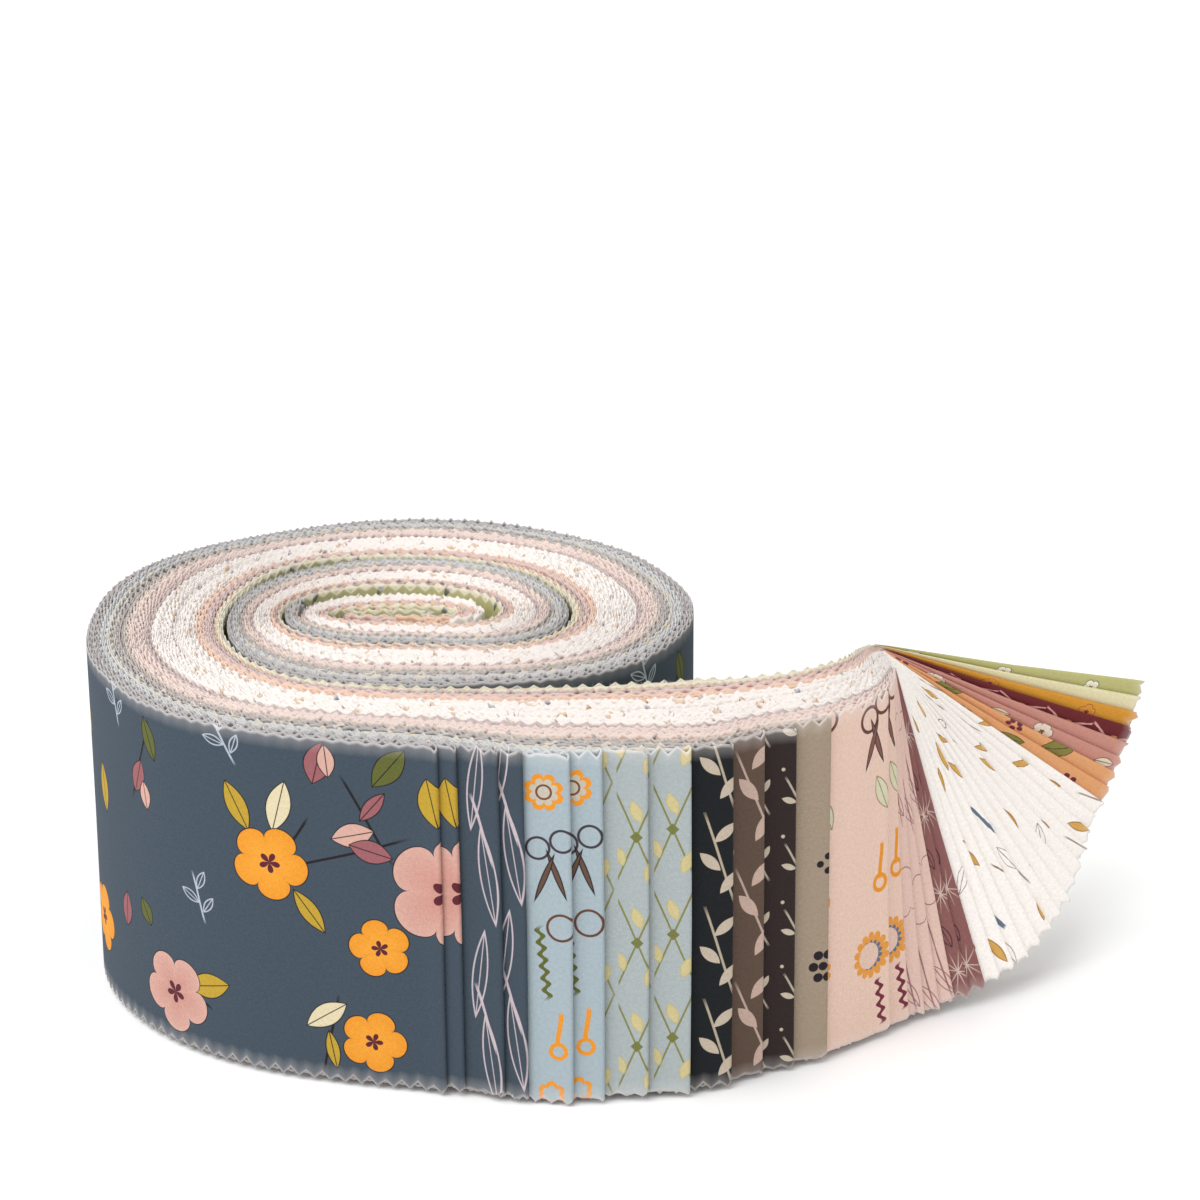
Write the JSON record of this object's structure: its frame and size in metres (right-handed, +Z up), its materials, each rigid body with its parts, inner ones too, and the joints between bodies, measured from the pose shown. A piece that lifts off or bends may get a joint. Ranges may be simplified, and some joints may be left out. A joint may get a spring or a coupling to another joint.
{
  "type": "fabric strip roll",
  "caption": "Roll of folded, pinked quilting-cotton strips standing on its edge, with the folded ends fanned out to show the prints.",
  "frame": {"origin": "on the surface the roll stands on, below the middle of the object's box", "axes": "+Z up, along the roll's axis; +X from the roll towards the fanned ends of its tail; +Y from the front, where the folds show, to the back"},
  "size_m": [0.1934, 0.1172, 0.0636],
  "materials": {
    "slate_floral": "matt woven cotton, slate blue with a floral print",
    "slate_ribbon": "matt woven cotton, slate blue with pale line drawings",
    "mist_notions": "matt woven cotton, pale blue with sewing notions",
    "mist_lattice": "matt woven cotton, grey-blue with an olive lattice",
    "charcoal_vine": "matt woven cotton, charcoal with beige leaves",
    "brown_vine": "matt woven cotton, brown with pink leaves",
    "umber_sprig": "matt woven cotton, dark brown with cream sprigs",
    "taupe_berry": "matt woven cotton, taupe with dark berries",
    "rose_notions": "matt woven cotton, pale pink with sewing notions",
    "rose_linework": "matt woven cotton, pale pink with fine line flowers",
    "mauve_hatch": "matt woven cotton, dusty mauve with cream hatching",
    "cream_scatter": "matt woven cotton, warm white with sparse motifs",
    "apricot_leaf": "matt woven cotton, apricot with leaves and berries",
    "dusty_rose_blossom": "matt woven cotton, dusty rose with white blossoms",
    "burgundy_trellis": "matt woven cotton, burgundy with pink zigzag lines",
    "mustard_plain": "matt woven cotton, mustard",
    "pale_sage_blossom": "matt woven cotton, pale sage with white blossoms",
    "sage_blossom": "matt woven cotton, sage green with white blossoms"
  },
  "bodies": {
    "root": {"strip_01_slate_floral": "slate_floral", "strip_02_slate_floral": "slate_floral", "strip_03_slate_ribbon": "slate_ribbon", "strip_04_slate_ribbon": "slate_ribbon", "strip_05_mist_notions": "mist_notions", "strip_06_mist_notions": "mist_notions", "strip_07_mist_lattice": "mist_lattice", "strip_08_mist_lattice": "mist_lattice", "strip_09_charcoal_vine": "charcoal_vine", "strip_10_brown_vine": "brown_vine", "strip_11_umber_sprig": "umber_sprig", "strip_12_taupe_berry": "taupe_berry", "strip_13_rose_notions": "rose_notions", "strip_14_rose_notions": "rose_notions", "strip_15_rose_linework": "rose_linework", "strip_16_rose_linework": "rose_linework", "strip_17_rose_linework": "rose_linework", "strip_18_mauve_hatch": "mauve_hatch", "strip_19_mauve_hatch": "mauve_hatch", "strip_20_cream_scatter": "cream_scatter", "strip_21_cream_scatter": "cream_scatter", "strip_22_cream_scatter": "cream_scatter", "strip_23_cream_scatter": "cream_scatter", "strip_24_cream_scatter": "cream_scatter", "strip_25_cream_scatter": "cream_scatter", "strip_26_cream_scatter": "cream_scatter", "strip_27_cream_scatter": "cream_scatter", "strip_28_cream_scatter": "cream_scatter", "strip_29_cream_scatter": "cream_scatter", "strip_30_cream_scatter": "cream_scatter", "strip_31_cream_scatter": "cream_scatter", "strip_32_cream_scatter": "cream_scatter", "strip_33_apricot_leaf": "apricot_leaf", "strip_34_apricot_leaf": "apricot_leaf", "strip_35_dusty_rose_blossom": "dusty_rose_blossom", "strip_36_dusty_rose_blossom": "dusty_rose_blossom", "strip_37_burgundy_trellis": "burgundy_trellis", "strip_38_mustard_plain": "mustard_plain", "strip_39_pale_sage_blossom": "pale_sage_blossom", "strip_40_sage_blossom": "sage_blossom"}
  },
  "joints": []
}
